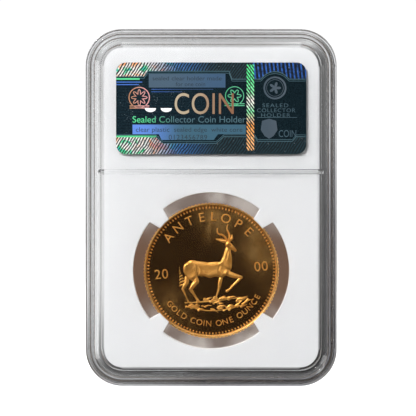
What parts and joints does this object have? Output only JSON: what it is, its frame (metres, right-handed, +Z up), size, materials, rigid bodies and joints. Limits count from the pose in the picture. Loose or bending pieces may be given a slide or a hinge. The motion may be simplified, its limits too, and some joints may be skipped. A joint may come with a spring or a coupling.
{
  "type": "graded coin slab",
  "caption": "Sealed clear plastic coin holder that stands on its edge, with a white core gripping a round coin by prongs, a foil security label behind and a printed card in front.",
  "frame": {"origin": "middle of the bottom edge, which the slab stands on, in the plane of the seam between its two shells", "axes": "+Z up the slab's height, +X to the right when the rear face with the security label is seen square on, +Y through its depth, from the rear face towards the front face"},
  "size_m": [0.0604, 0.0082, 0.0857],
  "materials": {
    "clear_plastic": "gloss",
    "weld_plastic": "satin",
    "white_plastic": "satin",
    "gold": "polished",
    "foil": "gloss",
    "card": "matte"
  },
  "bodies": {
    "holder": {"rear_shell": "clear_plastic", "front_shell": "clear_plastic", "perimeter_weld": "weld_plastic", "core_insert": "white_plastic", "security_label": "foil", "certification_label": "card"},
    "gripped_coin": {"coin": "gold"}
  },
  "joints": [
    {"name": "coin_turn", "type": "hinge", "parent": "holder", "child": "gripped_coin", "pos_m": [0, 0, 0.02769], "axis": [0, -1, 0], "continuous": true}
  ]
}
